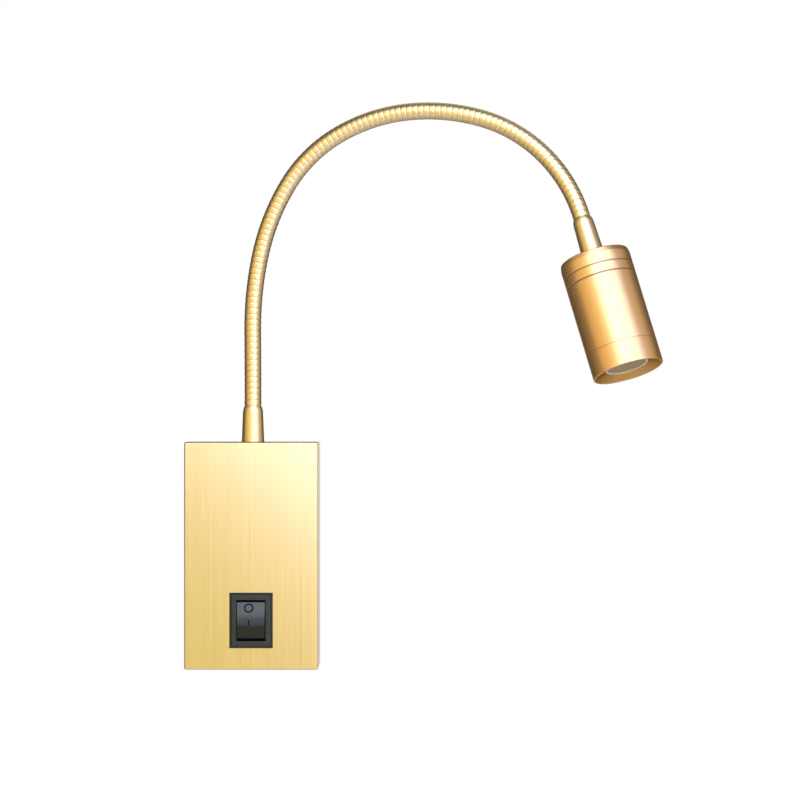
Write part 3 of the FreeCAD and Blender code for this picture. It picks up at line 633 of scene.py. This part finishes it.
RING_BORE_STEP = 1.1
RING_CORNER = 0.3                # rounding of the ring's front edge
RIM = 0.8                        # flat rim at the very front
RIM_DEPTH = 0.5
CONE_SETBACK = 0.15              # from the rim's face
CONE_DEPTH = 1.7                 # of the cone between the rim and the lens
LENS_WINDOW = 8.0                # radius of the opening in the cone
FLANGE_INNER = 7.0               # radius of the lens proper, inside its frosted flange
FLANGE_SETBACKS = (0.1, 0.2)     # of the flange's outer and inner edge, behind the opening
LENS_SETBACK = 0.35              # of the lens's edge, behind the opening
LENS_CROWN = 0.5                 # how far the middle of the lens stands before its edge
LENS_STEPS = 8                   # of a quarter turn, from the lens's edge to its middle
INNER_EDGE = 0.1 * MM            # softening of the parts behind the lens


def on_head(name, corners, material, slot, *replaced):
    """A turned piece of the head, from (radius, distance, fillet) corners off its rear face."""
    new_piece(name, turned(name, corners, HEAD, HEAD_DIRECTION), material, "head", slot, *replaced)


def head_cap(radius, cap_end):
    """The rear cap, with a groove and the gap before the body, and a band of painted shade, dark grey metal, at the
    bottom of each.
    """
    low, high = CAP_LINE - CAP_LINE_WIDTH / 2, CAP_LINE + CAP_LINE_WIDTH / 2
    seam_end = CAP_END + CAP_SEAM
    on_head("head_cap_turned", [
        (0, 0, 0), (radius - CAP_CHAMFER_STEP, 0, 0.35), (radius, CAP_CHAMFER_END, 0.2),
        (radius, low, LINE_EDGE), (radius - CAP_LINE_STEP, low, 0),
        (radius - CAP_LINE_STEP, high, 0), (radius, high, LINE_EDGE),
        (radius, CAP_END, LINE_EDGE), (radius - CAP_SEAM_STEP, CAP_END, 0),
        (radius - CAP_SEAM_STEP, seam_end, 0), (radius - CAP_SPIGOT_STEP, seam_end, 0),
        (radius - CAP_SPIGOT_STEP, cap_end, 0), (0, cap_end, 0)], HEAD_GOLD, "head_metal", "head_cap")
    # one band paints the shade at the bottom of the groove, the other at the bottom of the gap
    for name, start, stop, step in (("cap_line_painted_shade", low, high, LINE_SHADE_STEP),
                                    ("cap_seam_painted_shade", CAP_END, seam_end, SEAM_SHADE_STEP)):
        start, stop = start - SHADE_OVERLAP, stop + SHADE_OVERLAP
        on_head(name, [(radius - SHADE_INNER_STEP, start, 0), (radius - step, start, 0),
                       (radius - step, stop, 0), (radius - SHADE_INNER_STEP, stop, 0)], GROOVE_PAINTED_SHADE, "head_metal")


def head_body(radius, body_low, body_high, ring_low):
    """The middle tube, closed by the web that carries the light source."""
    start, seam = CAP_END + CAP_SEAM, ring_low - RING_SEAM
    on_head("head_body_turned", [
        (0, body_low, 0), (radius - BODY_REAR_STEP, body_low, 0), (radius - BODY_REAR_STEP, start, 0),
        (radius, start, LINE_EDGE), (radius, seam, EDGE), (radius - RING_SEAM_STEP, seam, 0),
        (radius - BODY_SPIGOT_STEP, seam, 0), (radius - BODY_SPIGOT_STEP, body_high, 0),
        (radius - BODY_BORE_STEP, body_high, 0), (radius - BODY_BORE_STEP, BODY_WEB, 0),
        (0, BODY_WEB, 0)], HEAD_GOLD, "head_metal", "head_body")


def head_front(radius, ring_low, ring_high):
    """The front ring with its cone, and the lens in its frosted flange."""
    lens_low, lens_high, lens_radius = span("lens", HEAD, HEAD_DIRECTION)
    on_head("front_ring_turned", [
        (radius - RING_BORE_STEP, ring_low, 0), (radius, ring_low, EDGE), (radius, ring_high, RING_CORNER),
        (radius - RIM, ring_high, 0.1), (radius - RIM, ring_high - RIM_DEPTH, 0),
        (radius - RING_BORE_STEP, ring_high - RIM_DEPTH, 0)], HEAD_GOLD, "head_metal", "front_ring")
    window = ring_high - CONE_DEPTH
    # the cone's darker gold is painted shade of the recess
    on_head("front_ring_cone", [
        (radius - RIM, ring_high - CONE_SETBACK, 0), (LENS_WINDOW, window, 0.12), (LENS_WINDOW, lens_high, 0),
        (radius - RIM, lens_high, 0)], CONE_PAINTED_SHADE_GOLD, "head_metal")
    outer_setback, inner_setback = FLANGE_SETBACKS
    on_head("lens_flange", [
        (FLANGE_INNER, lens_high, 0), (LENS_WINDOW, lens_high, 0), (LENS_WINDOW, window - outer_setback, 0.2),
        (FLANGE_INNER, window - inner_setback, 0.2)], FLANGE_PAINTED_REFLECTION, "lens_glass")
    turns = [i * math.pi / 2 / LENS_STEPS for i in range(LENS_STEPS + 1)]
    crown = [(FLANGE_INNER * math.cos(t), window - LENS_SETBACK + LENS_CROWN * math.sin(t), 0) for t in turns]
    on_head("lens_turned", [(0, lens_low, 0), (lens_radius, lens_low, 0), (lens_radius, lens_high, 0),
                            (FLANGE_INNER, lens_high, 0)] + crown, LENS_GLASS, "lens_glass", "lens")


def head():
    """Cap, body, front ring, lens and what shows through it."""
    _, cap_end, radius = span("head_cap", HEAD, HEAD_DIRECTION)
    body_low, body_high, _ = span("head_body", HEAD, HEAD_DIRECTION)
    ring_low, ring_high, _ = span("front_ring", HEAD, HEAD_DIRECTION)
    head_cap(radius, cap_end)
    head_body(radius, body_low, body_high, ring_low)
    head_front(radius, ring_low, ring_high)
    for node, material, slot in (("lens_holder", HOLDER_BLACK, "holder_black"),
                                 ("star_board", STAR_WHITE, "star_aluminium"),
                                 ("light_emitter", PHOSPHOR, "emitter_white")):
        new_piece(node + "_dressed", dressed(node, INNER_EDGE), material, "head", slot, node)


# ---------------------------------------------------------------- camera, light and floor
CAMERA_NEAR = 0.01
LIGHT_TARGET = Vector((0.06, -0.03, 0.06))   # about the middle of the lamp
FILL = 0.08                      # level of the studio beside and in front of the lamp
BACKDROP_EDGE = 0.93             # cosine off straight behind at which the white backdrop ends
FLOOR_RADIUS = 0.75
FLOOR_SEGMENTS = 96
FLOOR_CENTRE = (0.06, 0.0, -0.25)
FLOOR_COLOUR = (0.9, 0.9, 0.9, 1)
FLOOR_ROUGHNESS = 0.9


def camera():
    """The photograph's view: straight at the wall, with the box left of and below the middle."""
    low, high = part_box("wall_box_cover")
    middle = (low + high) / 2
    data = bpy.data.cameras.new("camera")
    data.sensor_fit = "HORIZONTAL"
    data.sensor_width = SENSOR_WIDTH
    data.lens = SENSOR_WIDTH * CAMERA_DISTANCE / (IMAGE_PIXELS * PIXEL)
    data.clip_start = CAMERA_NEAR
    view = bpy.data.objects.new("camera", data)
    bpy.context.scene.collection.objects.link(view)
    view.location = (middle.x + (IMAGE_PIXELS / 2 - PLATE_CENTRE_PIXEL[0]) * PIXEL, low.y - CAMERA_DISTANCE,
                     middle.z + (PLATE_CENTRE_PIXEL[1] - IMAGE_PIXELS / 2) * PIXEL)
    view.rotation_euler = (math.pi / 2, 0, 0)
    bpy.context.scene.camera = view


def soft_light(name, azimuth, elevation, distance, size, level, colour=(1, 1, 1), roll=0):
    """An area light, aimed at the middle of the lamp, whose level is that of its mirror image in bright metal.

    Azimuth 0 is in front and 90 at the right; the angles are in degrees.
    """
    a, e = math.radians(azimuth), math.radians(elevation)
    offset = Vector((math.sin(a) * math.cos(e), -math.cos(a) * math.cos(e), math.sin(e))) * distance
    data = bpy.data.lights.new(name, "AREA")
    data.shape = "RECTANGLE"
    data.size, data.size_y = size
    data.energy = math.pi * size[0] * size[1] * level
    data.color = colour
    light = bpy.data.objects.new(name, data)
    light.visible_camera = False
    bpy.context.scene.collection.objects.link(light)
    light.location = LIGHT_TARGET + offset
    aim = (-offset).to_track_quat("-Z", "Y").to_matrix()
    light.rotation_euler = (aim @ Matrix.Rotation(math.radians(roll), 3, "Z")).to_euler()


def studio_lights():
    """A bluish key lamp for white highlights on the brass, and warm fills for its orange shades."""
    soft_light("key", 23, 19, 0.6, (0.97, 0.85), 1.52, (0.95, 1.0, 1.65), roll=-42)
    soft_light("front_fill", 2, 4, 1.3, (2.7, 1.65), 0.78, (0.97, 0.82, 0.22))
    soft_light("left_fill", -60, 8, 0.8, (0.8, 0.8), 0.86, (1.0, 0.72, 0.28))
    soft_light("right_fill", 88, 8, 0.9, (0.5, 0.9), 0.7, (1.0, 0.8, 0.4))
    soft_light("top", 0, 50, 0.9, (1.2, 0.45), 1.45, (0.92, 1.0, 1.05))
    soft_light("switch_light", -10, 34, 0.66, (0.15, 0.45), 2.8, (0.85, 1.0, 1.0))
    soft_light("back", 170, 50, 1.0, (1.0, 0.6), 0.8)


def world():
    """A white backdrop to the camera, in glass and in metal that mirrors it; soft even fill from elsewhere."""
    scene_world = bpy.data.worlds.new("studio")
    bpy.context.scene.world = scene_world
    scene_world.use_nodes = True
    nodes, links = scene_world.node_tree.nodes, scene_world.node_tree.links
    path = nodes.new("ShaderNodeLightPath")
    coordinates = nodes.new("ShaderNodeTexCoord")
    parts = nodes.new("ShaderNodeSeparateXYZ")
    links.new(coordinates.outputs["Generated"], parts.inputs["Vector"])
    behind = nodes.new("ShaderNodeMapRange")
    behind.inputs["From Min"].default_value = BACKDROP_EDGE
    behind.inputs["From Max"].default_value = 1.0
    links.new(parts.outputs["Y"], behind.inputs["Value"])
    links.new(path.outputs["Is Glossy Ray"], behind.inputs["To Max"])
    seen = nodes.new("ShaderNodeMath")
    seen.operation = "MAXIMUM"
    links.new(path.outputs["Is Camera Ray"], seen.inputs[0])
    links.new(path.outputs["Is Transmission Ray"], seen.inputs[1])
    white = nodes.new("ShaderNodeMath")
    white.operation = "MAXIMUM"
    links.new(seen.outputs[0], white.inputs[0])
    links.new(behind.outputs["Result"], white.inputs[1])
    level = nodes.new("ShaderNodeMapRange")
    level.inputs["To Min"].default_value = FILL
    links.new(white.outputs[0], level.inputs["Value"])
    links.new(level.outputs["Result"], nodes["Background"].inputs["Strength"])
    nodes["Background"].inputs["Color"].default_value = (1, 1, 1, 1)


def floor():
    """A plain pale floor below the lamp."""
    work = bmesh.new()
    bmesh.ops.create_circle(work, cap_ends=True, segments=FLOOR_SEGMENTS, radius=FLOOR_RADIUS)
    mesh = bpy.data.meshes.new("floor")
    work.to_mesh(mesh)
    work.free()
    material, _, _, shader = blank("floor_white")
    shader.inputs["Base Color"].default_value = FLOOR_COLOUR
    shader.inputs["Roughness"].default_value = FLOOR_ROUGHNESS
    mesh.materials.append(material)
    ground = bpy.data.objects.new("floor", mesh)
    bpy.context.scene.collection.objects.link(ground)
    ground.location = FLOOR_CENTRE


bpy.context.scene.view_settings.view_transform = "Standard"
wall_box()
rocker()
neck()
ferrules()
head()
camera()
world()
floor()
studio_lights()
